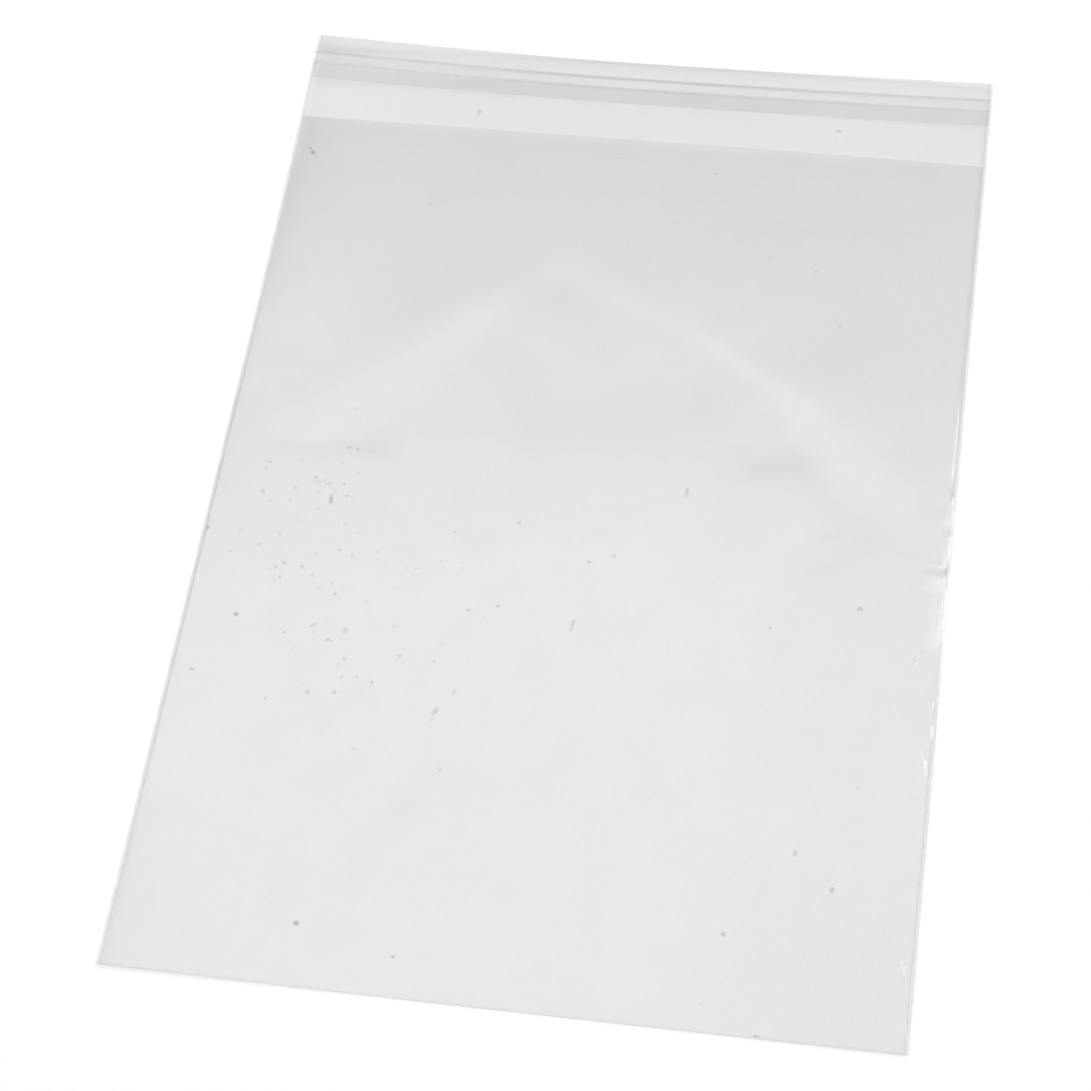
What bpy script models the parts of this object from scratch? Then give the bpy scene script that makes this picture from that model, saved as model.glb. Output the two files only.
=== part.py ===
"""Clear cellophane bag with a self-seal flap, empty, lying flat with its front panel up.

One sheet of clear film is folded across the bottom. The front panel ends at the mouth, and
the longer back panel runs on past it as the flap. A hot knife has cut both sides and left a
narrow weld along each, which joins the panels and hems the flap. A stripe of adhesive
crosses the flap under a clear release liner, whose dry edge points to the mouth.

Metres, +Z up. X runs across the bag and Y from the folded bottom to the flap. The origin is
under the middle of the bag, and the back panel lies on Z = 0.
"""

import math

import bmesh
import bpy

# Sheet
WIDTH = 0.230           # across the bag, over both welds
BODY_LENGTH = 0.310     # from the bottom fold to the mouth
FLAP_LENGTH = 0.035     # from the mouth to the flap's edge
FILM = 0.00004          # thickness of the film

# Bottom fold and side welds
FOLD_SPACE = 0.00006    # clear height inside the fold, and between the panels at a weld
WELD_WIDTH = 0.0013     # from the pocket to the outside of the bead
WELD_BEAD = 0.0001      # melted rim outside the film's cut edge

# Seal on the flap
LINER_SETBACK = 0.0073  # bare lip between the flap's edge and the liner
LINER_WIDTH = 0.0108
LINER_THICKNESS = 0.00004
LINER_LIFT = 0.0006     # how far the liner's dry edge stands up
ADHESIVE_WIDTH = 0.0043
ADHESIVE_THICKNESS = 0.00003
SEAT_GAP = 0.0003       # clearance between layers that lie on each other, and at the welds

# How the film lies: each corner's side in X and in Y, and how high it curls
CORNER_LIFTS = ((-1, 1, 0.0038), (1, 1, 0.0015), (-1, -1, 0.0014), (1, -1, 0.0007))
CURL_ACROSS = 0.105     # reach of a curled corner in X
CURL_ALONG = 0.150      # and in Y
CURL_POWER = 1.5

# How far the front panel stands off the back panel
MOUTH_OPENING = 0.0022  # at the middle of the mouth
SLACK = 0.0008          # halfway down the bag

# Shallow buckles across the front panel: middle X and Y, slope along X, half width, height
BUCKLES = ((-0.064, 0.041, 1.1, 0.022, 0.0006), (0.078, 0.034, -0.65, 0.022, 0.0005))
BUCKLE_LENGTH = 0.050

# Spacing of the mesh
COLUMN_STEP = 0.0095
ROW_STEP = 0.010
FOLD_STEPS = 4

LENGTH = BODY_LENGTH + FLAP_LENGTH
FLAP_EDGE = LENGTH / 2
MOUTH = FLAP_EDGE - FLAP_LENGTH
FOLD_RADIUS = (FOLD_SPACE + FILM) / 2
FOLD_CENTRE = -LENGTH / 2 + FILM / 2 + FOLD_RADIUS
CUT_SIDE = WIDTH / 2 - WELD_BEAD
WELD_LINE = WIDTH / 2 - WELD_WIDTH


def spaced(start, stop, step):
    """Even positions from start to stop, no further apart than step."""
    count = math.ceil(abs(stop - start) / step - 1e-6)
    return [start + (stop - start) * i / count for i in range(count + 1)]


def ramp(value, start, stop):
    """0 up to start, 1 from stop on."""
    return min(max((value - start) / (stop - start), 0.0), 1.0)


def lie(x, y):
    """Height of the back panel's underside: flat on the table, curling up to the corners."""
    height = 0.0
    for side, end, lift in CORNER_LIFTS:
        across = ramp(side * x, WIDTH / 2 - CURL_ACROSS, WIDTH / 2)
        along = ramp(end * y, LENGTH / 2 - CURL_ALONG, LENGTH / 2)
        height += lift * (across * along) ** CURL_POWER
    return height


def buckle(x, y):
    """Height of the soft diagonal buckles in the front panel."""
    height = 0.0
    for middle_x, middle_y, slope, half_width, rise in BUCKLES:
        across_ridge = ((y - middle_y) - slope * (x - middle_x)) / math.hypot(1, slope)
        along_ridge = ((x - middle_x) + slope * (y - middle_y)) / math.hypot(1, slope)
        nearness = (across_ridge / half_width) ** 2 + (along_ridge / BUCKLE_LENGTH) ** 2
        height += rise * math.exp(-nearness)
    return height


def pocket(x, y):
    """Opening between the panels: none at the welds and the fold, widest at the mouth."""
    across = max(1 - (x / WELD_LINE) ** 2, 0.0)
    up = ramp(y, FOLD_CENTRE, MOUTH)
    rise = MOUTH_OPENING * up ** 3 + SLACK * math.sin(math.pi * up)
    return across * (rise + buckle(x, y) * math.sin(math.pi * up))


def new_collection(name):
    collection = bpy.data.collections.new(name)
    bpy.context.scene.collection.children.link(collection)
    return collection


def clear_plastic(name, colour, roughness, alpha):
    """Principled material of a clear plastic layer."""
    material = bpy.data.materials.new(name)
    material.use_nodes = True
    shader = material.node_tree.nodes["Principled BSDF"]
    shader.inputs["Base Color"].default_value = (*colour, 1)
    shader.inputs["Metallic"].default_value = 0
    shader.inputs["Roughness"].default_value = roughness
    shader.inputs["Alpha"].default_value = alpha
    return material


def layer(name, columns, rows, place, thickness, collection, material):
    """A sheet of even thickness: a grid whose cells are bent into place, made solid."""
    mesh = bpy.data.meshes.new(name)
    grid = bmesh.new()
    across, along = len(columns) - 1, len(rows) - 1
    bmesh.ops.create_grid(grid, x_segments=across, y_segments=along, size=1)
    for vertex in grid.verts:
        column = round((vertex.co.x + 1) / 2 * across)
        row = round((vertex.co.y + 1) / 2 * along)
        vertex.co = place(columns[column], rows[row])
    grid.to_mesh(mesh)
    grid.free()
    mesh.materials.append(material)
    sheet = bpy.data.objects.new(name, mesh)
    collection.objects.link(sheet)
    solidify = sheet.modifiers.new("Thickness", "SOLIDIFY")
    solidify.thickness = thickness
    solidify.offset = 0
    solidify.use_even_offset = True
    return sheet


def sheet_section():
    """The folded sheet's section, from the mouth round the bottom fold to the flap's edge.

    Each station is a Y position, a height above the back panel's middle, and the share of
    the pocket's opening that it takes part in.
    """
    front = [(y, 2 * FOLD_RADIUS, 1) for y in spaced(MOUTH, FOLD_CENTRE, ROW_STEP)]
    back = [(y, 0, 0) for y in spaced(FOLD_CENTRE, FLAP_EDGE, ROW_STEP)]
    fold = []
    for step in range(1, FOLD_STEPS):
        turn = math.pi * step / FOLD_STEPS
        y = FOLD_CENTRE - FOLD_RADIUS * math.sin(turn)
        fold.append((y, FOLD_RADIUS * (1 + math.cos(turn)), 0))
    return front + fold + back


def bag_film(collection, cutters, material):
    """The folded sheet, joined along both sides by its welds."""
    def on_sheet(x, station):
        y, height, share = station
        return x, y, lie(x, y) + FILM / 2 + height + share * pocket(x, y)

    inside = spaced(-WELD_LINE, WELD_LINE, COLUMN_STEP)
    columns = [-CUT_SIDE] + inside + [CUT_SIDE]
    sheet = layer("bag_film", columns, sheet_section(), on_sheet, FILM, collection, material)
    for side in (-1, 1):
        weld = side_weld(side, cutters, material)
        union = sheet.modifiers.new(weld.name, "BOOLEAN")
        union.operation = "UNION"
        union.object = weld
    return sheet


def side_weld(side, cutters, material):
    """The fused strip along one side, from the middle of one film to the middle of the other."""
    def in_weld(x, y):
        return x, y, lie(x, y) + FILM / 2 + FOLD_RADIUS

    in_fold = FOLD_CENTRE - 0.7 * FOLD_RADIUS
    columns = sorted([side * WELD_LINE, side * WIDTH / 2])
    rows = [in_fold] + spaced(FOLD_CENTRE, FLAP_EDGE - WELD_BEAD, ROW_STEP)
    name = "weld_left" if side < 0 else "weld_right"
    weld = layer(name, columns, rows, in_weld, 2 * FOLD_RADIUS, cutters, material)
    weld.hide_render = True
    weld.display_type = "WIRE"
    return weld


def strip_on_flap(name, near, far, height, thickness, collection, material):
    """A strip across the flap, between two distances from the flap's edge.

    height gives how far its underside is above the flap's film, from the same distance.
    """
    def on_flap(x, inward):
        y = FLAP_EDGE - inward
        return x, y, lie(x, y) + FILM + height(inward) + thickness / 2

    half = WELD_LINE - SEAT_GAP
    columns = spaced(-half, half, COLUMN_STEP)
    rows = spaced(near, far, LINER_WIDTH / 4)
    return layer(name, columns, rows, on_flap, thickness, collection, material)


def adhesive_stripe(collection, material):
    def height(inward):
        return SEAT_GAP

    far = LINER_SETBACK + ADHESIVE_WIDTH
    return strip_on_flap("adhesive_stripe", LINER_SETBACK, far, height,
                         ADHESIVE_THICKNESS, collection, material)


def release_liner(collection, material):
    far = LINER_SETBACK + LINER_WIDTH

    def height(inward):
        dry = ramp(inward, LINER_SETBACK + ADHESIVE_WIDTH, far)
        return SEAT_GAP + ADHESIVE_THICKNESS + SEAT_GAP + LINER_LIFT * dry ** 2

    return strip_on_flap("release_liner", LINER_SETBACK, far, height,
                         LINER_THICKNESS, collection, material)


def main():
    for leftover in list(bpy.data.objects):
        bpy.data.objects.remove(leftover)
    bag = new_collection("cellophane_bag")
    cutters = new_collection("cutters")
    film = clear_plastic("clear_film", (0.92, 0.93, 0.93), 0.06, 0.25)
    adhesive = clear_plastic("clear_adhesive", (0.90, 0.90, 0.88), 0.35, 0.15)
    liner = clear_plastic("clear_liner", (0.90, 0.91, 0.92), 0.12, 0.25)
    bag_film(bag, cutters, film)
    adhesive_stripe(bag, adhesive)
    release_liner(bag, liner)


main()
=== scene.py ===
"""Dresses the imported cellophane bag: one folded sheet of clear film with welded, slightly
puckered sides, the clear seal on its flap, and the dust that lies on it.

Metres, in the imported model's own frame. X runs across the bag, Y from the folded bottom to
the flap, +Z up through the front panel. Features read off the photograph are given in the
pixels of its 1091 x 1091 frame and are dropped along the camera's ray onto the film.
"""

import functools
import math

import bpy
import numpy as np
from mathutils import Matrix, Vector, noise


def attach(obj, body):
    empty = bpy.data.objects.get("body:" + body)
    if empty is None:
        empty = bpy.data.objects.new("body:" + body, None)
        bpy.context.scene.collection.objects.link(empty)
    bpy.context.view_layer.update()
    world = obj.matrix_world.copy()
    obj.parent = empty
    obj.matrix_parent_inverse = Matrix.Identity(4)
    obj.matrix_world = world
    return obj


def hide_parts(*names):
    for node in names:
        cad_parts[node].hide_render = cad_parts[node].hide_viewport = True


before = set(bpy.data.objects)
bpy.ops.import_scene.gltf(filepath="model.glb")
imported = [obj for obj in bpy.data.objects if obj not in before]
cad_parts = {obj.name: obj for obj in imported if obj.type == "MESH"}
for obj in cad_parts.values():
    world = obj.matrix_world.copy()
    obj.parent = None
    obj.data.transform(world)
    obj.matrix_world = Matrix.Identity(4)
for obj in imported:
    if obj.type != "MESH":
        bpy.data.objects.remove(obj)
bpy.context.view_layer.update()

# The bag's sizes, as the source has them
WIDTH = 0.230
LENGTH = 0.345
FLAP_LENGTH = 0.035
FILM = 0.00004
FOLD_SPACE = 0.00006
WELD_WIDTH = 0.0013
FLAP_EDGE = LENGTH / 2
MOUTH = FLAP_EDGE - FLAP_LENGTH
FOLD_RADIUS = (FOLD_SPACE + FILM) / 2
FOLD_CENTRE = -LENGTH / 2 + FILM / 2 + FOLD_RADIUS
SIDE = WIDTH / 2
WELD_LINE = SIDE - WELD_WIDTH
FUSED = FOLD_SPACE + 2 * FILM       # thickness of both panels where they are welded

# How the film lies: each corner's side in X and in Y, and how high it curls
CORNER_LIFTS = ((-1, 1, 0.0038), (1, 1, 0.0015), (-1, -1, 0.0014), (1, -1, 0.0007))
CURL_ACROSS = 0.105
CURL_ALONG = 0.150
CURL_POWER = 1.5
MOUTH_OPENING = 0.0022
SLACK = 0.0008
# Middle X and Y, slope along X, half width and height of each buckle of the front panel
BUCKLES = ((-0.064, 0.041, 1.1, 0.022, 0.0002), (0.078, 0.034, -0.65, 0.022, 0.0002))
BUCKLE_LENGTH = 0.050
MARGIN_RISE = 0.0002        # how far the front panel rounds down to the welds
MARGIN_POWER = 14
# Long low waves of the front panel: wavelength, direction in degrees, phase, height
WAVES = ((0.083, 62, 0.4, 0.00006), (0.061, 118, 2.1, 0.00004), (0.110, 12, 4.0, 0.00005),
         (0.047, 85, 1.2, 0.00002), (0.039, 30, 5.1, 0.000015))

# Camera, solved from the bag's corners and edges
IMAGE = 1091
CAMERA_AT = Vector((0.11208, -0.47176, 0.75674))
CAMERA_AIM = Vector((-0.00799, -0.02065, 0.0))
CAMERA_ROLL = math.radians(-7.6375)
LENS = 95.886
SENSOR = 36.0
CLIP_START = 0.05

FLOOR_Z = -0.0003

# How far the front panel, and the back panel with its flap, hide what is behind them
FRONT_COVER = 0.119
BACK_COVER = 0.244
# Painted light and shade on the folds: the front panel is painted lighter where a fold rises and
# darker where it falls
FOLD_PAINTED_LIGHT = 0.6       # how much less the front panel hides for each unit of a fold's slope


def camera_axes():
    """Right, up and back vectors of the camera."""
    forward = (CAMERA_AIM - CAMERA_AT).normalized()
    level = forward.cross(Vector((0, 0, 1))).normalized()
    above = level.cross(forward)
    right = level * math.cos(CAMERA_ROLL) + above * math.sin(CAMERA_ROLL)
    up = above * math.cos(CAMERA_ROLL) - level * math.sin(CAMERA_ROLL)
    return right, up, -forward


def make_camera():
    right, up, back = camera_axes()
    data = bpy.data.cameras.new("camera")
    data.lens = LENS
    data.sensor_width = SENSOR
    data.clip_start = CLIP_START
    camera = bpy.data.objects.new("camera", data)
    bpy.context.scene.collection.objects.link(camera)
    turn = Matrix((right, up, back)).transposed().to_4x4()
    camera.matrix_world = Matrix.Translation(CAMERA_AT) @ turn
    bpy.context.scene.camera = camera


def ramp(value, start, stop):
    """0 up to start, 1 from stop on."""
    return np.clip((value - start) / (stop - start), 0, 1)


def smooth(value, start, stop):
    """As ramp, but easing in and out."""
    t = ramp(value, start, stop)
    return t * t * (3 - 2 * t)


def lie(x, y):
    """Height of the back panel's underside."""
    height = 0 * x
    for side, end, lift in CORNER_LIFTS:
        across = ramp(side * x, WIDTH / 2 - CURL_ACROSS, WIDTH / 2)
        along = ramp(end * y, LENGTH / 2 - CURL_ALONG, LENGTH / 2)
        height = height + lift * (across * along) ** CURL_POWER
    return height


def buckle(x, y):
    """Height of the soft diagonal buckles."""
    height = 0 * x
    for middle_x, middle_y, slope, half_width, rise in BUCKLES:
        across = ((y - middle_y) - slope * (x - middle_x)) / math.hypot(1, slope)
        along = ((x - middle_x) + slope * (y - middle_y)) / math.hypot(1, slope)
        farness = (across / half_width) ** 2 + (along / BUCKLE_LENGTH) ** 2
        height = height + rise * np.exp(-farness)
    return height


def waves(x, y):
    """Height of the long low waves."""
    height = 0 * x
    for length, direction, phase, rise in WAVES:
        turn = math.radians(direction)
        along = x * math.cos(turn) + y * math.sin(turn)
        height = height + rise * np.sin(2 * math.pi * along / length + phase)
    return height


def pocket(x, y):
    """Opening between the panels, with the front panel's buckles and waves."""
    across = np.maximum(1 - (x / WELD_LINE) ** 2, 0)
    up = ramp(y, FOLD_CENTRE, MOUTH)
    belly = np.sin(math.pi * up)
    rise = MOUTH_OPENING * up ** 3 + SLACK * belly
    margin = MARGIN_RISE * (1 - np.minimum(np.abs(x) / WELD_LINE, 1) ** MARGIN_POWER)
    loose = np.minimum(across * 3, 1) * np.minimum(belly * 3 + up, 1)
    close = np.minimum(belly * 4, 1)
    return across * (rise + buckle(x, y) * belly) + close * margin + loose * waves(x, y)


@functools.cache
def on_bag(px, py):
    """Position in the bag's plane of what a pixel of the photograph shows."""
    right, up, back = camera_axes()
    focal = LENS / SENSOR * IMAGE
    ray = right * ((px - IMAGE / 2) / focal) - up * ((py - IMAGE / 2) / focal) - back
    height = 0.0
    for _ in range(4):
        at = CAMERA_AT + ray * ((height - CAMERA_AT.z) / ray.z)
        x, y = at.x, at.y
        front = y < MOUTH
        height = float(lie(x, y)) + (FUSED + float(pocket(x, y)) if front else FILM)
    return Vector((x, y))


def along_line(x, y, a, b):
    """Distance to the side of the line from a to b, how far past its ends, and share run."""
    length = (b - a).length
    run = (b - a) / length
    side = (y - a.y) * run.x - (x - a.x) * run.y
    share = ((x - a.x) * run.x + (y - a.y) * run.y) / length
    beyond = np.maximum(np.maximum(-share, share - 1), 0) * length
    return side, beyond, share


# Long soft steps of the front panel. One that rises to the flap mirrors the bright panel
# overhead, and one that falls the dim room: the pixels of both ends, left to right, half width,
# slope (below 0 a fall) and reach.
FOLDS = (
    ((318, 430), (482, 318), 0.0070, 0.058, 0.010),
    ((490, 300), (560, 268), 0.0040, 0.012, 0.012),
    ((590, 282), (715, 347), 0.0030, 0.022, 0.010),
    ((715, 347), (800, 408), 0.0022, 0.042, 0.008),
    ((800, 412), (882, 492), 0.0068, 0.048, 0.010),
    ((290, 446), (378, 447), 0.0040, -0.040, 0.006),
    ((762, 470), (796, 463), 0.0048, -0.038, 0.006),
    ((828, 570), (866, 545), 0.0045, -0.018, 0.007),
    ((748, 586), (790, 538), 0.0045, 0.025, 0.008),
    ((372, 846), (420, 795), 0.0036, -0.040, 0.008),
    ((540, 425), (700, 412), 0.0110, -0.016, 0.015),
)


def folds(x, y):
    """Height of the soft steps, and their slope."""
    height = 0 * x
    slope = 0 * x
    for first, last, half_width, steepness, reach in FOLDS:
        side, beyond, _ = along_line(x, y, on_bag(*first), on_bag(*last))
        fade = steepness * np.exp(-(beyond / reach) ** 2)
        step = np.tanh(side / half_width)
        height = height + half_width * step * fade * np.exp(-(side / (3 * reach)) ** 2)
        slope = slope + (1 - step ** 2) * fade
    return height, slope


# Sharp little creases by the right weld, which catch the light: the pixels of both ends, the
# width of the flank that faces right, and how white the film is painted there as a glint.
CREASES = (
    ((952.0, 493), (949.8, 530), 0.0014, 0.95),
    ((948.4, 531), (945.8, 564), 0.0015, 0.9),
    ((939.0, 563), (938.6, 568), 0.0022, 0.6),
    ((934.0, 575), (944.5, 582), 0.0008, 0.6),
    ((946.6, 570), (944.0, 600), 0.0014, 0.8),
    ((942.0, 590), (935.0, 646), 0.0024, 0.95),
    ((938.0, 572), (935.0, 592), 0.0034, 0.5),
    ((920.0, 585), (928.0, 590), 0.0010, 0.2),
    ((912.0, 662), (917.0, 665), 0.0012, 0.2),
    ((931.5, 702), (931.5, 712), 0.0010, 0.4),
    ((931.0, 722), (929.0, 745), 0.0010, 0.3),
    ((917.5, 749), (925.0, 769), 0.0009, 0.3),
    ((925.0, 768), (922.5, 783), 0.0009, 0.3),
    ((912.0, 797), (918.0, 806), 0.0010, 0.2),
    ((899.0, 959), (903.5, 981), 0.0013, 0.8),
    ((911.0, 993), (913.5, 1000), 0.0010, 0.6),
)
CREASE_SLOPE = 0.16     # of the flank, which then mirrors the lamp
# Soft painted glints round the creases: the pixels of both ends, reach and whiteness
PAINTED_GLINTS = (
    ((950.5, 505), (945.5, 565), 0.0016, 0.60),
    ((944.0, 575), (929.0, 585), 0.0028, 0.70),
    ((940.5, 592), (935.0, 645), 0.0027, 0.85),
)


def creases(x, y):
    """Height of the small creases, and how far the film is painted white on and round them as a
    glint.
    """
    height = 0 * x
    white = 0 * x
    for top, bottom, flank, whiteness in CREASES:
        right, _, share = along_line(x, y, on_bag(*top), on_bag(*bottom))
        across = np.where(right > 0, 1 - right / flank, 1 + right / (1.5 * flank))
        ends = smooth(share, -0.12, 0.25) * smooth(1 - share, -0.12, 0.35)
        height = height + CREASE_SLOPE * flank * np.clip(across, 0, 1) * ends
        facing = smooth(right, -0.4 * flank, 0.3 * flank) * smooth(flank - right, -0.0004, 0.0004)
        white = np.maximum(white, whiteness * facing * ends)
    for first, last, reach, whiteness in PAINTED_GLINTS:
        side, beyond, _ = along_line(x, y, on_bag(*first), on_bag(*last))
        white = np.maximum(white, whiteness * np.exp(-(side ** 2 + beyond ** 2) / reach ** 2))
    return height, white


PUCKER_HEIGHT = 0.00003
PUCKER_PITCH = 0.0094
PUCKER_REACH = 0.005


def puckers(x, y):
    """Fine gathers that the hot knife leaves in the front panel beside both welds.

    They come every 9.4 mm or so, lean a little, and fade and return along the weld.
    """
    inside = WELD_LINE - np.abs(x)
    reach = np.exp(-np.maximum(inside, 0) / PUCKER_REACH) * smooth(inside, 0, 0.0015)
    wander = y * (2 * math.pi / PUCKER_PITCH) + 1.7 * np.sin(y * 2 * math.pi / 0.041)
    strength = 0.55 + 0.45 * np.sin(y * 2 * math.pi / 0.093 + 0.8)
    side = np.where(x > 0, 1.0, 0.6)
    lean = inside * 260
    return PUCKER_HEIGHT * side * strength * reach * (1 + np.sin(wander + lean))


def link(mesh, name, material):
    """A piece of the scene, smooth apart from its sharp edges."""
    piece = bpy.data.objects.new(name, mesh)
    bpy.context.scene.collection.objects.link(piece)
    mesh.materials.append(material)
    mesh.shade_smooth()
    mesh.set_sharp_from_angle(angle=math.radians(50))
    return piece


def cells(rows, columns):
    """The corners of each cell of a grid, row by row."""
    for r in range(rows - 1):
        for c in range(columns - 1):
            a = r * columns + c
            yield a, a + columns, a + columns + 1, a + 1


def steps(start, stop, step):
    """Even positions from start up to, but without, stop."""
    count = max(1, math.ceil(abs(stop - start) / step - 1e-6))
    return [start + (stop - start) * i / count for i in range(count)]


def spans(*stops):
    """Positions through (position, step) pairs, each step holding up to the next pair."""
    found = []
    for (start, step), (stop, _) in zip(stops, stops[1:]):
        found += steps(start, stop, step)
    return found + [stops[-1][0]]


def back_height(x, y):
    """Middle of the back panel's film."""
    edge = smooth(np.abs(x), WELD_LINE - 0.002, WELD_LINE)
    return lie(x, y) + FILM / 2 + creases(x, y)[0] * edge


def front_height(x, y):
    """Middle of the front panel's film."""
    inside = smooth(WELD_LINE - np.abs(x), 0, 0.001)
    open_height = pocket(x, y) + puckers(x, y) + folds(x, y)[0]
    return lie(x, y) + FILM / 2 + 2 * FOLD_RADIUS + creases(x, y)[0] + inside * open_height


FILM_IN_WELD = 0.0003       # how far the panels run into the welds
FOLD_STEPS = 8


def film_mesh():
    """The folded sheet between its welds, from the mouth round the bottom to the flap's edge.

    The sheet is so thin that it has no thickness here: each panel is one surface.
    """
    under_weld = WELD_LINE + FILM_IN_WELD
    xs = np.array(spans((-under_weld, 0.0003), (-WELD_LINE, 0.0003), (-0.1105, 0.0008),
                        (-0.1060, 0.0016), (0.1020, 0.0003), (under_weld, 0)))
    front = spans((MOUTH, 0.0010), (MOUTH - 0.003, 0.0020), (0.0950, 0.0012), (0.0200, 0.0007),
                  (-0.0520, 0.0016), (-0.0700, 0.0009), (-0.0950, 0.0026), (-0.1380, 0.0009),
                  (-0.1600, 0.0020), (-0.1700, 0.0010), (FOLD_CENTRE, 0))
    back = spans((FOLD_CENTRE, 0.0010), (-0.1700, 0.0040), (-0.0520, 0.0010), (0.0200, 0.0040),
                 (MOUTH, 0.0025), (FLAP_EDGE, 0))
    turns = [math.pi * k / FOLD_STEPS for k in range(1, FOLD_STEPS)]

    def row(y, height):
        return np.stack([xs, y, height], axis=1)

    rows = [row(0 * xs + y, front_height(xs, 0 * xs + y)) for y in front]
    seam = 0 * xs + FOLD_CENTRE
    high, low = front_height(xs, seam), back_height(xs, seam)
    for turn in turns:
        rows.append(row(seam - FOLD_RADIUS * math.sin(turn),
                        (high + low) / 2 + (high - low) / 2 * math.cos(turn)))
    rows += [row(0 * xs + y, back_height(xs, 0 * xs + y)) for y in back]
    mesh = bpy.data.meshes.new("film")
    points = np.concatenate(rows)
    mesh.from_pydata(points.tolist(), [], list(cells(len(rows), len(xs))))
    fold_row = len(front) + len(turns) // 2
    behind = np.arange(len(points)) >= fold_row * len(xs)
    film_look(mesh, points, behind)
    return mesh


def soft_noise(points, scale, seed):
    """Smooth noise over the film, about 0 to 1."""
    shift = Vector((seed * 7.3, seed * 3.1, seed))
    flat = [Vector((x * scale, y * scale, 0)) + shift for x, y, z in points.tolist()]
    return np.array([0.5 + 0.5 * noise.noise(at) for at in flat])


# The film's haze and scuffs, its greys, and how much more it hides where shade or glints are painted
# on it
SCUFF_TURN = np.array([[0.88, -0.48, 0], [0.48, 0.88, 0], [0, 0, 1]])
SCUFF_STRETCH = np.array([1, 9, 1])
SCUFF_SCALE = 60
HAZE_SCALE = 16
FILM_GREY = 0.45
DARK_GREY = 0.15
GLINT_GREY = 0.95
DARK_COVER = 0.10
GLINT_COVER = 0.16


def set_look(mesh, cover, dark, white):
    """Stores each point's cover (how far it hides what is behind), grey and roughness.

    dark is the share of painted shade and white the share of painted glint, each of which also hides
    more.
    The haze and the scuffs are faint and the same in every render.
    """
    points = np.empty(3 * len(mesh.vertices))
    mesh.vertices.foreach_get("co", points)
    points = points.reshape(-1, 3)
    haze = soft_noise(points, HAZE_SCALE, 1)
    turned = points @ SCUFF_TURN
    scuff = smooth(soft_noise(turned * SCUFF_STRETCH, SCUFF_SCALE, 2), 0.62, 0.80)
    shade = FILM_GREY + (DARK_GREY - FILM_GREY) * dark
    shade = shade + (GLINT_GREY - shade) * white
    cover = cover * (0.95 + 0.10 * haze) + 0.004 * scuff + DARK_COVER * dark + GLINT_COVER * white
    look = mesh.attributes.new("look", "FLOAT_VECTOR", "POINT")
    rough = np.maximum(0.25 * scuff, white)
    look.data.foreach_set("vector", np.stack([cover, shade, rough], axis=1).ravel())


def near_left(x, y):
    """Painted shade on the film by the left weld, most of it near the mouth, and on the lip."""
    top = smooth(y, 0.02, 0.12)
    flap = smooth(y, MOUTH, MOUTH + 0.001) * (1 - smooth(y, MOUTH + 0.015, MOUTH + 0.017))
    reach = 0.0020 + 0.0140 * top
    beside = np.exp(-(x + WELD_LINE) / reach) * (0.05 + 0.45 * top) * (1 - 0.7 * flap)
    lip = smooth(y, FLAP_EDGE - LINER_NEAR - 0.001, FLAP_EDGE - LINER_NEAR)
    return beside + 0.48 * lip * np.exp(-(x + WELD_LINE) / 0.028)


def weld_line_shade(x, y):
    """A painted shade line where a weld meets the pocket, left out where the right side glares."""
    out = SIDE - np.abs(x)
    glare = smooth(y, 0.012, 0.004) * smooth(y, -0.075, -0.055)
    low = smooth(y, 0, -0.08)
    left = (0.40 + 0.15 * low) * np.exp(-((out - 0.0007) / 0.0004) ** 2)
    right = (0.24 - 0.20 * low) * np.exp(-((out - 0.0019 + 0.0005 * low) / 0.0004) ** 2)
    return np.where(x < 0, left, right * (1 - glare))


def shade_patches(x, y):
    """Faint painted shade at the lower right, the lower left edge and the upper left."""
    bottom = smooth(y, -0.10, -0.15)
    right = 0.06 * smooth(x, 0.03, 0.10) * (smooth(y, 0.02, -0.04) + bottom)
    left = 0.16 * bottom * np.exp(-(x + WELD_LINE) / 0.006)
    upper = 0.07 * np.exp(-((x + 0.070) / 0.030) ** 2 - ((y - 0.080) / 0.035) ** 2)
    return right + left + upper


def film_look(mesh, points, behind):
    """Gives the panels their look: painted shade at the fold, the lip, the mouth and the welds,
    painted glints by the creases and painted light and shade on the folds.
    """
    x, y = points[:, 0], points[:, 1]
    # Painted shade: a dark line along the bottom fold and the flap's edge, and a darker band below
    # the front panel's mouth, more at the left
    fold = 0.5 * (1 - smooth(y, -LENGTH / 2, -LENGTH / 2 + 0.0009))
    lip = 0.7 * smooth(y, FLAP_EDGE - 0.0006, FLAP_EDGE)
    mouth = np.where(behind, 0, 0.25 * np.exp(-(MOUTH - y) / 0.0035))
    mouth = mouth * (1 + smooth(x, -0.03, -0.08))
    dark = shade_patches(x, y) + fold + lip + near_left(x, y) + weld_line_shade(x, y) + mouth
    dark = np.clip(dark, 0, 1)
    # Painted glints round the creases, fainter on the back panel
    white = creases(x, y)[1] * np.where(behind, 0.7, 1)
    # Painted light and shade: the front panel hides less where a fold rises and more where it falls
    front = FRONT_COVER - FOLD_PAINTED_LIGHT * folds(x, y)[1]
    set_look(mesh, np.where(behind, BACK_COVER, front), dark, white)


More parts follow.
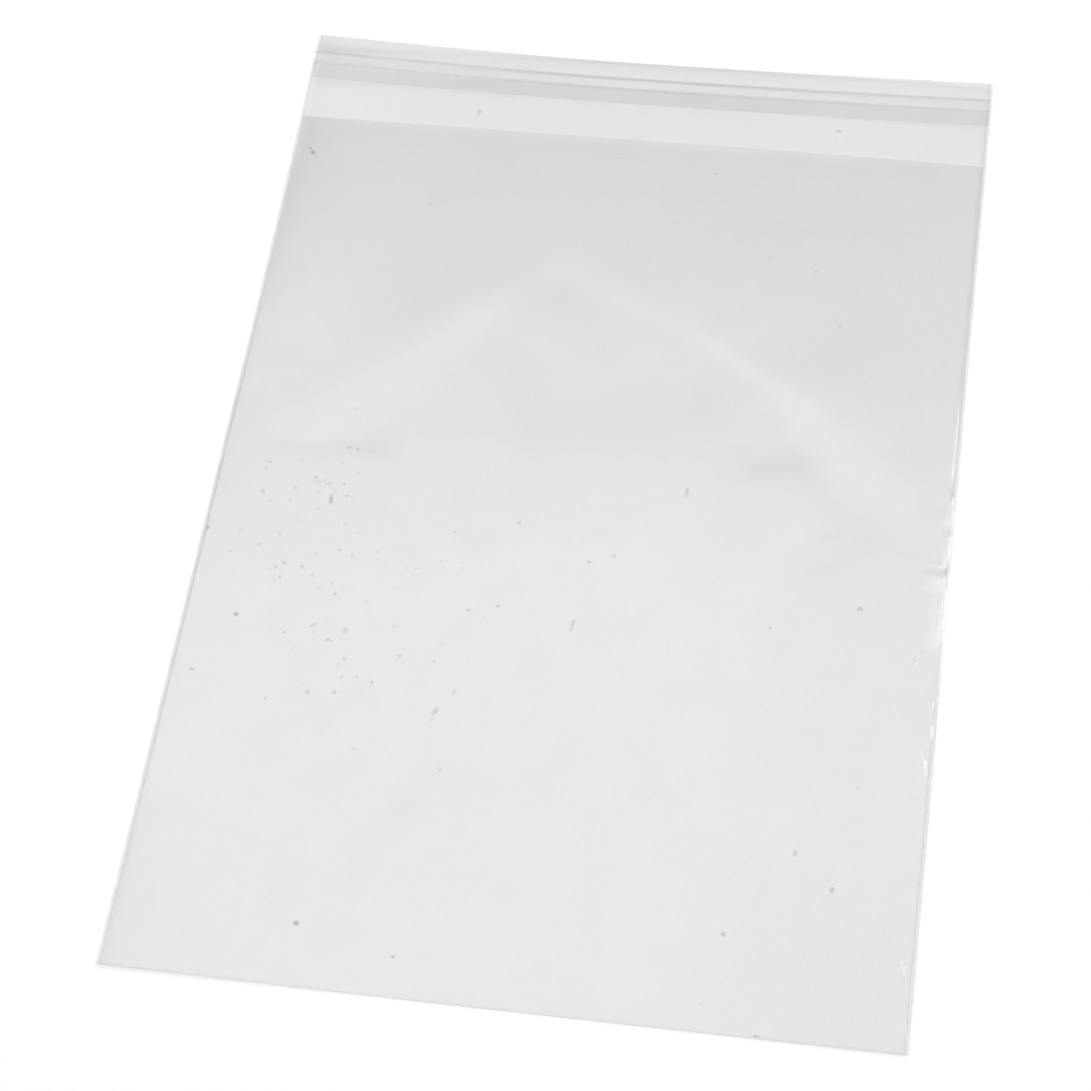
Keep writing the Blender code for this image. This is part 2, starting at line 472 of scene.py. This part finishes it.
def slab_mesh(name, xs, ys, under, over):
    """A closed slab between two heights, over the positions xs and ys."""
    x, y = np.meshgrid(np.array(xs), np.array(ys))
    rows, columns = x.shape
    count = rows * columns
    low = np.stack([x.ravel(), y.ravel(), under(x, y).ravel()], axis=1)
    high = np.stack([x.ravel(), y.ravel(), over(x, y).ravel()], axis=1)
    faces = []
    for face in cells(rows, columns):
        faces += [face, [count + v for v in face[::-1]]]
    ring = list(range(columns))
    ring += [r * columns + columns - 1 for r in range(1, rows)]
    ring += [(rows - 1) * columns + c for c in range(columns - 2, -1, -1)]
    ring += [r * columns for r in range(rows - 2, 0, -1)]
    for a, b in zip(ring, ring[1:] + ring[:1]):
        faces.append([a, b, count + b, count + a])
    mesh = bpy.data.meshes.new(name)
    mesh.from_pydata(np.concatenate([low, high]).tolist(), [], faces)
    return mesh


RIM_ROUND = 0.0002          # radius of the cut rim
BEAD_HEIGHT = 0.00007
LEVEL_RIM = 0.0004          # the outer part that the creases don't tilt


def weld_profile(x, y):
    """Underside and thickness of the weld, with its round cut rim and the bead inside it."""
    out = SIDE - np.abs(x)
    rim = np.sqrt(np.clip(1 - (1 - np.minimum(out / RIM_ROUND, 1)) ** 2, 0.03, 1))
    bead = BEAD_HEIGHT * np.exp(-((out - 0.00025) / 0.00022) ** 2)
    inner = smooth(out, WELD_WIDTH + 0.0003, WELD_WIDTH - 0.0001)
    full = FUSED * (1 - 0.35 * smooth(y, MOUTH - 0.0005, MOUTH + 0.0005)) + bead
    thick = full * rim * (0.35 + 0.65 * inner)
    level_rim = np.clip(x, LEVEL_RIM - SIDE, SIDE - LEVEL_RIM)
    return lie(x, y) + creases(level_rim, y)[0] + (full - thick) / 2, thick


def weld_mesh(side):
    """The fused strip along one side, from the bottom fold to the flap's edge."""
    out = [0.0, 0.00004, 0.0001, 0.0002, 0.0003, 0.00045, 0.0006, 0.0008, 0.0010, 0.0012,
           WELD_WIDTH, WELD_WIDTH + 0.0002]
    xs = sorted(side * (SIDE - d) for d in out)
    bottom = FOLD_CENTRE - FOLD_RADIUS * 0.9
    fine = 0.0008 if side > 0 else 0.0020
    ys = spans((bottom, fine), (0.03, 0.0020), (FLAP_EDGE - 0.0001, 0))

    def under(x, y):
        return weld_profile(x, y)[0]

    def over(x, y):
        low, thick = weld_profile(x, y)
        return low + thick

    mesh = slab_mesh("weld_left" if side < 0 else "weld_right", xs, ys, under, over)
    points = np.empty(3 * len(mesh.vertices))
    mesh.vertices.foreach_get("co", points)
    x, y = points[0::3], points[1::3]
    out = SIDE - np.abs(x)
    # Painted highlight: the right weld hides less where it glares; low makes both rims hide more
    # lower down
    clear = np.where(x < 0, 0, 0.3 * smooth(y, 0.012, 0) * smooth(y, -0.06, -0.04))
    low = np.where(x < 0, smooth(y, 0.06, 0), smooth(y, -0.055, -0.075))
    rim = 0.07 + 0.08 * smooth(out, 0, 0.0006) + 0.06 * low
    cover = rim * smooth(out, 0.0015, 0.0009) * (1 - clear)
    # Painted glints round the creases reach onto the weld, whose dark is its painted shade line
    white = creases(x, y)[1] * smooth(out, 0.0004, 0.0008)
    set_look(mesh, cover, weld_line_shade(x, y), white)
    return mesh


def flap_surface(x, y):
    """Top of the flap, with the welded hem along its sides."""
    low, thick = weld_profile(x, y)
    hem = smooth(np.abs(x), WELD_LINE - 0.0006, WELD_LINE)
    return np.maximum(back_height(x, y), lie(x, y) + hem * (low + thick - lie(x, y)))


def flap_strip_mesh(name, xs, ys, lift):
    """A thin strip across the flap, lift above it."""
    x, y = np.meshgrid(np.array(xs), np.array(ys))
    height = flap_surface(x, y) + lift(x, y)
    points = np.stack([x.ravel(), y.ravel(), height.ravel()], axis=1)
    faces = [(a, d, c, b) for a, b, c, d in cells(*x.shape)]
    mesh = bpy.data.meshes.new(name)
    mesh.from_pydata(points.tolist(), [], faces)
    return mesh


# Materials

class Nodes:
    """Short calls for a material's nodes."""

    def __init__(self, name):
        self.material = bpy.data.materials.new(name)
        self.material.use_nodes = True
        self.tree = self.material.node_tree
        self.shader = self.tree.nodes["Principled BSDF"]

    def add(self, kind, **settings):
        node = self.tree.nodes.new(kind)
        for key, value in settings.items():
            setattr(node, key, value)
        return node

    def feed(self, node, **inputs):
        """Links or sets a node's inputs, named with _ for a space, or _0, _1 by number."""
        for key, value in inputs.items():
            name = int(key[1:]) if key[0] == "_" else key.replace("_", " ")
            socket = node.inputs[name]
            if isinstance(value, bpy.types.NodeSocket):
                self.tree.links.new(value, socket)
            else:
                socket.default_value = value
        return node

    def math(self, operation, a, b=0.0, clamp=False):
        node = self.add("ShaderNodeMath", operation=operation, use_clamp=clamp)
        return self.feed(node, _0=a, _1=b).outputs[0]

    def scaled(self, value, gain, start=0.0):
        """start + gain * value"""
        node = self.add("ShaderNodeMath", operation="MULTIPLY_ADD")
        return self.feed(node, _0=value, _1=gain, _2=start).outputs[0]

    def place(self):
        return self.add("ShaderNodeTexCoord").outputs["Object"]

    def split(self, vector):
        return self.feed(self.add("ShaderNodeSeparateXYZ"), _0=vector).outputs

    def fade(self, value, start, stop):
        """0 up to start, 1 from stop on."""
        node = self.add("ShaderNodeMapRange", interpolation_type="SMOOTHSTEP", clamp=True)
        return self.feed(node, _0=value, _1=start, _2=stop).outputs[0]

    def line(self, value, middle, half):
        """1 where value is middle, fading to 0 at half on both sides."""
        off = self.math("ABSOLUTE", self.math("SUBTRACT", value, middle))
        return self.fade(off, half, 0.0)

    def noise(self, at, scale, detail, roughness=0.5, stretch=(1, 1, 1)):
        mapping = self.feed(self.add("ShaderNodeMapping"), Vector=at, Scale=stretch)
        node = self.add("ShaderNodeTexNoise", noise_dimensions="2D")
        self.feed(node, Vector=mapping.outputs[0], Scale=scale, Detail=detail, Roughness=roughness)
        return node.outputs[0]

    def mix(self, share, a, b):
        """Grey or colour mixed from a to b."""
        node = self.add("ShaderNodeMix", data_type="RGBA")
        self.feed(node, _0=share, _6=a, _7=b)
        return node.outputs[2]

    def bump(self, height, distance):
        node = self.add("ShaderNodeBump")
        return self.feed(node, Height=height, Distance=distance, Strength=1.0).outputs[0]


def grey(value, tint=0.0):
    return (value, value, value + tint, 1)


GLOSS = {"IOR": 1.9, "Specular_IOR_Level": 1.0}


def film_material(name, scale, stretch, unevenness):
    """Clear film. Its cover, grey and scuffs come from the mesh's "look" attribute."""
    n = Nodes(name)
    look = n.add("ShaderNodeAttribute", attribute_name="look").outputs["Vector"]
    cover, shade, scuff = n.split(look)
    haze = n.noise(n.place(), scale, 0, 0.5, stretch)
    rough = n.math("ADD", n.scaled(haze, 0.10, 0.05), n.scaled(scuff, 0.28))
    n.feed(n.shader, Base_Color=shade, Roughness=rough, Alpha=cover,
           Normal=n.bump(haze, unevenness), **GLOSS)
    return n.material


# Edges of the seal's strips, from the flap's edge
ADHESIVE_NEAR = 0.0073
ADHESIVE_FAR = 0.0116
LINER_NEAR = 0.0068
LINER_FAR = 0.0181
EDGE_HALF = 0.0012      # half width of the dark lines along the adhesive


def liner_material():
    """Clear strip: invisible where the adhesive wets it, hazy where it is dry.

    Dark lines show where the adhesive starts and ends under it.
    """
    n = Nodes("clear_liner")
    at = n.place()
    inward = n.math("SUBTRACT", FLAP_EDGE, n.split(at)["Y"])
    haze = n.noise(at, 22, 2, 0.5, (0.4, 1, 1))
    first = n.scaled(n.line(inward, ADHESIVE_NEAR, EDGE_HALF), 0.95)
    second = n.scaled(n.line(inward, ADHESIVE_FAR, EDGE_HALF), 0.5)
    dark = n.math("ADD", first, second, clamp=True)
    dry = n.fade(inward, ADHESIVE_FAR - 0.0002, ADHESIVE_FAR + 0.0004)
    alpha = n.math("ADD", n.scaled(dry, FRONT_COVER + 0.005, 0.01), n.scaled(dark, 0.20))
    alpha = n.math("ADD", alpha, n.scaled(haze, 0.012))
    colour = n.mix(dark, grey(FILM_GREY), grey(0.10))
    n.feed(n.shader, Base_Color=colour, Roughness=n.scaled(haze, 0.12, 0.08), Alpha=alpha,
           Normal=n.bump(haze, 0.00002), **GLOSS)
    return n.material


def adhesive_material():
    """Nearly clear adhesive with a fine tacky grain, drawn out along the stripe."""
    n = Nodes("clear_adhesive")
    tack = n.noise(n.place(), 300, 3, 0.6, (0.3, 1, 1))
    colour = n.mix(tack, grey(0.80, -0.02), grey(0.88, -0.02))
    n.feed(n.shader, Base_Color=colour, Roughness=n.scaled(tack, 0.2, 0.3),
           Alpha=n.scaled(tack, 0.02, 0.005), Normal=n.bump(tack, 0.00002))
    return n.material


def dust_material():
    """Dust that thins out to its rim, as the mesh's "look" attribute has it."""
    n = Nodes("dust")
    look = n.add("ShaderNodeAttribute", attribute_name="look").outputs["Fac"]
    speck = n.noise(n.place(), 900, 2)
    colour = n.mix(speck, grey(0.08), grey(0.20))
    n.feed(n.shader, Base_Color=colour, Roughness=n.scaled(speck, 0.3, 0.6), Alpha=look,
           Normal=n.bump(speck, 0.00005))
    return n.material


# Dust

# Specks and fibres on the film: pixel, seen length and width in mm, turn in degrees, and cover
SPECKS = (
    (313, 152, 2.6, 1.7, 120, 0.33), (310, 148, 1.8, 0.9, 150, 0.19), (331, 499, 4.4, 1.7, 97, 0.24),
    (236, 614, 1.8, 1.6, 0, 0.36), (345, 630, 2.7, 2.2, 20, 0.13), (687, 492, 4.2, 1.2, 85, 0.21),
    (519, 523, 1.9, 1.3, 0, 0.23), (589, 562, 2.0, 1.7, 0, 0.18), (573, 623, 2.8, 1.2, 80, 0.19),
    (571, 630, 2.0, 1.1, 55, 0.17), (435, 711, 2.9, 1.7, 70, 0.22), (296, 923, 2.2, 1.9, 0, 0.34),
    (860, 609, 2.1, 1.9, 0, 0.23), (832, 890, 2.5, 1.7, 80, 0.19), (723, 934, 1.9, 1.6, 0, 0.19),
    (795, 853, 2.2, 1.3, 80, 0.20), (839, 131, 2.2, 1.6, 20, 0.17), (479, 112, 3.0, 1.7, 80, 0.19),
    (701, 1003, 1.6, 1.0, 0, 0.11), (208, 527, 2.0, 1.0, 75, 0.25), (393, 957, 1.7, 1.3, 0, 0.17),
    (498, 606, 1.8, 1.8, 0, 0.14), (192, 669, 2.2, 1.2, 0, 0.15), (356, 409, 1.4, 1.1, 0, 0.15),
    (440, 770, 1.5, 1.3, 0, 0.12), (816, 271, 1.6, 1.2, 60, 0.14), (840, 326, 1.4, 1.4, 0, 0.14),
    (770, 258, 1.2, 1.2, 0, 0.13), (716, 174, 1.3, 1.2, 0, 0.12), (770, 628, 1.4, 1.4, 0, 0.15),
    (683, 542, 1.6, 1.1, 80, 0.13), (858, 789, 1.5, 1.2, 0, 0.13), (430, 205, 1.8, 1.2, 30, 0.11),
    (340, 305, 1.2, 1.2, 0, 0.12), (756, 1036, 2.4, 0.8, -5, 0.22),
)


GRAIN_SIDES = 12
GRAIN_RINGS = (0.45, 0.8), (0.75, 0.3), (1.0, 0.0)      # share of the radius, share of the cover
SEEN_TO_HALF = 1750     # from a seen length in mm to the half length in m, thin rim included


def add_grain(points, covers, faces, px, py, length, width, turn, cover):
    """A low heap on the film, thinning out from its middle over three rings."""
    centre = on_bag(px, py)
    first = len(points)
    points.append(centre)
    covers.append(cover)
    for share, left in GRAIN_RINGS:
        for k in range(GRAIN_SIDES):
            angle = 2 * math.pi * k / GRAIN_SIDES
            arm = Vector((math.cos(angle) * length, math.sin(angle) * width))
            arm *= share / SEEN_TO_HALF
            arm.rotate(Matrix.Rotation(turn, 2))
            points.append(centre + arm)
            covers.append(cover * left)
    for k in range(GRAIN_SIDES):
        after = (k + 1) % GRAIN_SIDES
        faces.append((first, first + 1 + k, first + 1 + after))
        for ring in (1, 1 + GRAIN_SIDES):
            a, b = first + ring + k, first + ring + after
            faces.append((a, a + GRAIN_SIDES, b + GRAIN_SIDES, b))


FILM_CLEARANCE = 0.00003    # from the middle of the film to the dust
HEAP = 0.00006              # height of a heap that hides the film all over

# The scatter of faint grains: its middle, spread and sides in the photograph's pixels, and the
# ranges that seen length in mm, width as a share of length, and cover are drawn from
SCATTER_TRIES = 130
SCATTER_X, SCATTER_X_SPREAD = 335, 110
SCATTER_Y, SCATTER_Y_SPREAD = 570, 80
SCATTER_LEFT, SCATTER_RIGHT = 230, 640
SCATTER_SIZES = 1.0, 1.9
SCATTER_SHAPES = 0.6, 1
SCATTER_COVERS = 0.06, 0.17


def dust_mesh():
    """Specks and fibres that lie on the bag, and a scatter of faint grains at its left."""
    points, covers, faces = [], [], []
    for px, py, length, width, turn, cover in SPECKS:
        add_grain(points, covers, faces, px, py, length, width, math.radians(turn), cover)
    draw = np.random.default_rng(7)
    for _ in range(SCATTER_TRIES):
        px = draw.normal(SCATTER_X, SCATTER_X_SPREAD)
        py = draw.normal(SCATTER_Y, SCATTER_Y_SPREAD)
        size = draw.uniform(*SCATTER_SIZES)
        shape = draw.uniform(*SCATTER_SHAPES)
        turn = draw.uniform(0, math.pi)
        cover = draw.uniform(*SCATTER_COVERS)
        if SCATTER_LEFT < px < SCATTER_RIGHT:
            add_grain(points, covers, faces, px, py, size, size * shape, turn, cover)
    x, y = np.array([[at.x, at.y] for at in points]).T
    covers = np.array(covers)
    film = np.where(y < MOUTH, front_height(x, y), back_height(x, y))
    height = film + FILM_CLEARANCE + HEAP * covers
    mesh = bpy.data.meshes.new("dust")
    mesh.from_pydata(np.stack([x, y, height], axis=1).tolist(), [], faces)
    mesh.attributes.new("look", "FLOAT", "POINT").data.foreach_set("value", covers)
    return mesh


# Stage

BRIGHT = 2.5
DIM = 0.12
PANEL_EDGE = 0.778, 0.888       # where the panel begins and is full, along its tilt
PANEL_TILT = (-0.13, 0, 1)      # the panel hangs a little lower at the left


def make_world():
    """A soft panel overhead that fades into a dim room; the camera sees plain white."""
    world = bpy.data.worlds.new("studio")
    world.use_nodes = True
    world.cycles.sampling_method = "MANUAL"
    world.cycles.sample_map_resolution = 64     # enough for so soft a panel, and quick
    bpy.context.scene.world = world
    tree = world.node_tree
    background = tree.nodes["Background"]
    at = tree.nodes.new("ShaderNodeTexCoord")
    above = tree.nodes.new("ShaderNodeVectorMath")
    above.operation = "DOT_PRODUCT"
    above.inputs[1].default_value = PANEL_TILT
    tree.links.new(at.outputs["Generated"], above.inputs[0])
    panel = tree.nodes.new("ShaderNodeMapRange")
    panel.interpolation_type = "SMOOTHSTEP"
    for index, value in enumerate((*PANEL_EDGE, DIM, BRIGHT), start=1):
        panel.inputs[index].default_value = value
    tree.links.new(above.outputs["Value"], panel.inputs[0])
    path = tree.nodes.new("ShaderNodeLightPath")
    choose = tree.nodes.new("ShaderNodeMix")
    tree.links.new(path.outputs["Is Camera Ray"], choose.inputs[0])
    tree.links.new(panel.outputs[0], choose.inputs[2])
    choose.inputs[3].default_value = 1.0
    tree.links.new(choose.outputs[0], background.inputs["Strength"])
    background.inputs["Color"].default_value = (1, 1, 1, 1)


KEY_SIZE = 0.35
KEY_RADIANCE = 12
KEY_AT = Vector((0.68, 0.97, 1.60))
KEY_AIM = Vector((0.11, 0, 0))


def make_key():
    """A small bright box to the right, which the creases there catch."""
    data = bpy.data.lights.new("key", "AREA")
    data.shape = "SQUARE"
    data.size = KEY_SIZE
    data.energy = KEY_RADIANCE * math.pi * KEY_SIZE ** 2
    key = bpy.data.objects.new("key", data)
    bpy.context.scene.collection.objects.link(key)
    key.location = KEY_AT
    key.rotation_euler = (KEY_AT - KEY_AIM).to_track_quat("Z", "Y").to_euler()


FLOOR_GREY = 0.85
FLOOR_GLOW = 0.200      # seen by the camera and in gloss, and lights nothing
FLOOR_HALF = 6.0


def make_floor():
    """A pale floor that keeps the bag's shadow and reads as white round it."""
    n = Nodes("floor")
    nodes = n.tree.nodes
    output = nodes["Material Output"]
    diffuse = n.feed(n.add("ShaderNodeBsdfDiffuse"), Color=grey(FLOOR_GREY))
    path = n.add("ShaderNodeLightPath")
    seen = n.math("MAXIMUM", path.outputs["Is Camera Ray"], path.outputs["Is Glossy Ray"])
    seen = n.math("MAXIMUM", seen, path.outputs["Is Transmission Ray"])
    glow = n.feed(n.add("ShaderNodeEmission"), Strength=n.math("MULTIPLY", seen, FLOOR_GLOW))
    both = n.feed(n.add("ShaderNodeAddShader"), _0=diffuse.outputs[0], _1=glow.outputs[0])
    n.feed(output, Surface=both.outputs[0])
    nodes.remove(n.shader)
    mesh = bpy.data.meshes.new("floor")
    half = FLOOR_HALF
    corners = [(-half, -half, 0), (half, -half, 0), (half, half, 0), (-half, half, 0)]
    mesh.from_pydata(corners, [], [(0, 1, 2, 3)])
    mesh.materials.append(n.material)
    floor = bpy.data.objects.new("floor", mesh)
    bpy.context.scene.collection.objects.link(floor)
    floor.location.z = FLOOR_Z


STRIP_SIDE = 0.1147         # where the adhesive and the liner end
ADHESIVE_LIFT = 0.00005     # from the flap to the adhesive
LINER_LIFT = 0.00010        # from the flap to the liner where it sticks
LINER_STAND = 0.00025       # how much more its dry edge stands off, at most


def main():
    scene = bpy.context.scene
    scene.view_settings.view_transform = "Standard"
    scene.cycles.transparent_max_bounces = 16       # the camera's ray and shadows share them
    make_camera()
    make_world()
    make_key()
    make_floor()

    film = link(film_mesh(), "film", film_material("clear_film", 75, (1, 0.7, 1), 0.00003))
    fused = film_material("clear_weld", 160, (1, 0.25, 1), 0.00004)
    welds = [link(weld_mesh(-1), "weld_left", fused), link(weld_mesh(1), "weld_right", fused)]
    for piece in [film] + welds:
        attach(piece, "root")
        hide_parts("bag_film")

    across = spans((-STRIP_SIDE, 0.0005), (-0.1125, 0.0045), (0.1125, 0.0005), (STRIP_SIDE, 0))

    stripe_rows = spans((FLAP_EDGE - ADHESIVE_FAR, 0.0011), (FLAP_EDGE - ADHESIVE_NEAR, 0))
    stripe_mesh = flap_strip_mesh("adhesive", across, stripe_rows, lambda x, y: ADHESIVE_LIFT)
    stripe = link(stripe_mesh, "adhesive", adhesive_material())
    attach(stripe, "root")
    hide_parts("adhesive_stripe")

    def stand(x, y):
        """How far the liner stands off the flap: a little more along its dry edge."""
        dry = ramp(FLAP_EDGE - y, ADHESIVE_FAR, LINER_FAR)
        wander = 0.5 + 0.5 * np.sin(x * 55 + 1.0) * np.sin(x * 23)
        return LINER_LIFT + LINER_STAND * dry ** 2 * wander

    liner_rows = spans((FLAP_EDGE - LINER_FAR, 0.0008), (FLAP_EDGE - LINER_NEAR, 0))
    liner_mesh = flap_strip_mesh("liner", across, liner_rows, stand)
    liner = link(liner_mesh, "liner", liner_material())
    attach(liner, "root")
    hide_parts("release_liner")

    dust = link(dust_mesh(), "dust", dust_material())
    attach(dust, "root")


main()
